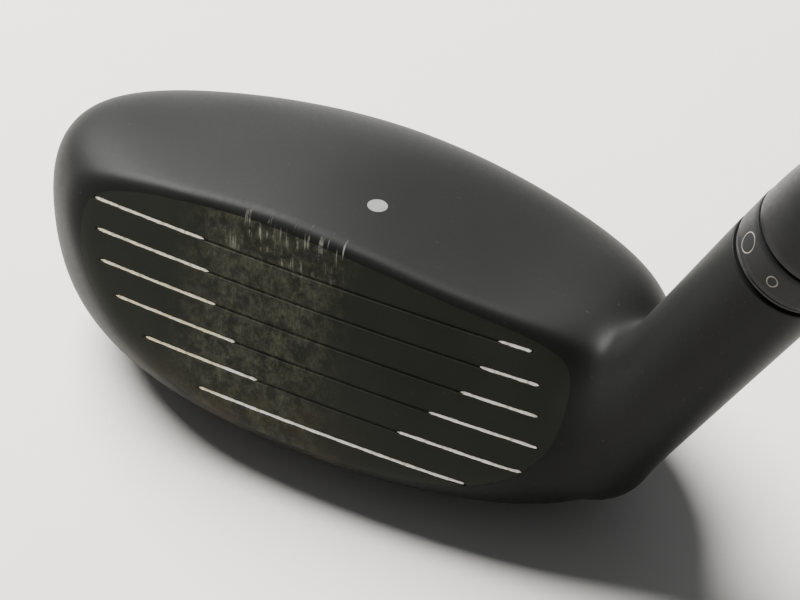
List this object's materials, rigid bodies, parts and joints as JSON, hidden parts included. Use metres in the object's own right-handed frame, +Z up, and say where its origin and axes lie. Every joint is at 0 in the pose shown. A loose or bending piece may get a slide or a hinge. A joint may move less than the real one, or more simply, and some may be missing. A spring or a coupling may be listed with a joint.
{
  "type": "hybrid golf club",
  "caption": "Right-handed hybrid golf club with a satin black hollow head, scored face, adjustable hosel, tapered graphite shaft and rubber grip.",
  "frame": {"origin": "the middle of the sole's flat rest patch, where the club stands at address", "axes": "+X from toe to heel, -Y the way the face looks, +Z up with the sole on the ground and the shaft leaning 60 degrees towards +X"},
  "size_m": [0.5982, 0.051, 0.8756],
  "materials": {
    "head_paint": "satin black paint with a fine sheen",
    "face_paint": "blasted black finish, scuffed at the middle",
    "dot_paint": "silver grey paint",
    "tungsten": "plain machined",
    "hot_melt": "waxy",
    "weight_steel": "turned",
    "bolt_steel": "turned",
    "seal_rubber": "smooth",
    "retainer_plastic": "plain moulded",
    "black_anodised": "black anodised, satin",
    "ferrule_plastic": "polished black",
    "shaft_paint": "clear-coated black graphite",
    "cork": "rough",
    "tape_paper": "plain",
    "grip_rubber": "moulded texture"
  },
  "bodies": {
    "head": {"head_body": "head_paint", "face_plate": "face_paint", "crown_shell": "head_paint", "alignment_dot": "dot_paint", "toe_weight": "tungsten", "damping_pad": "hot_melt", "bolt_retainer": "retainer_plastic", "bolt_washer": "bolt_steel"},
    "hosel_screw": {"hosel_bolt": "bolt_steel"},
    "shaft_seat": {"hosel_seal": "seal_rubber"},
    "shaft_assembly": {"adapter_sleeve": "black_anodised", "ferrule": "ferrule_plastic", "shaft": "shaft_paint", "tip_plug": "cork", "grip_tape": "tape_paper", "grip": "grip_rubber", "grip_cap": "grip_rubber"},
    "collar": {"index_collar": "black_anodised"},
    "weight_seat": {"rear_weight_seal": "seal_rubber"},
    "weight_screw": {"rear_weight_screw": "weight_steel"}
  },
  "joints": [
    {"name": "hosel_bolt_turn", "type": "hinge", "parent": "head", "child": "hosel_screw", "pos_m": [0.03866, -0.008, 0.01299], "axis": [-0.5, 0, -0.866], "range_deg": [0, 2880]},
    {"name": "shaft_lift", "type": "slide", "parent": "head", "child": "shaft_seat", "axis": [0.5, 0, 0.866], "range_m": [0, 0.0064]},
    {"name": "shaft_index", "type": "hinge", "parent": "shaft_seat", "child": "shaft_assembly", "pos_m": [0.06116, -0.008, 0.05196], "axis": [0.5, 0, 0.866], "continuous": true},
    {"name": "collar_index", "type": "hinge", "parent": "shaft_assembly", "child": "collar", "pos_m": [0.06616, -0.008, 0.06062], "axis": [0.5, 0, 0.866], "continuous": true},
    {"name": "weight_turn", "type": "hinge", "parent": "weight_seat", "child": "weight_screw", "pos_m": [-0.00199, 0.0132, 0.00266], "axis": [-0.0098, 0.3357, -0.9419], "range_deg": [0, 2160]},
    {"name": "weight_out", "type": "slide", "parent": "head", "child": "weight_seat", "axis": [-0.0098, 0.3357, -0.9419], "range_m": [0, 0.006]}
  ],
  "couplings": [
    {"joint": "hosel_bolt_turn", "follows": "shaft_lift", "rad_per_m": 7853.9},
    {"joint": "weight_turn", "follows": "weight_out", "rad_per_m": 6283.1}
  ]
}
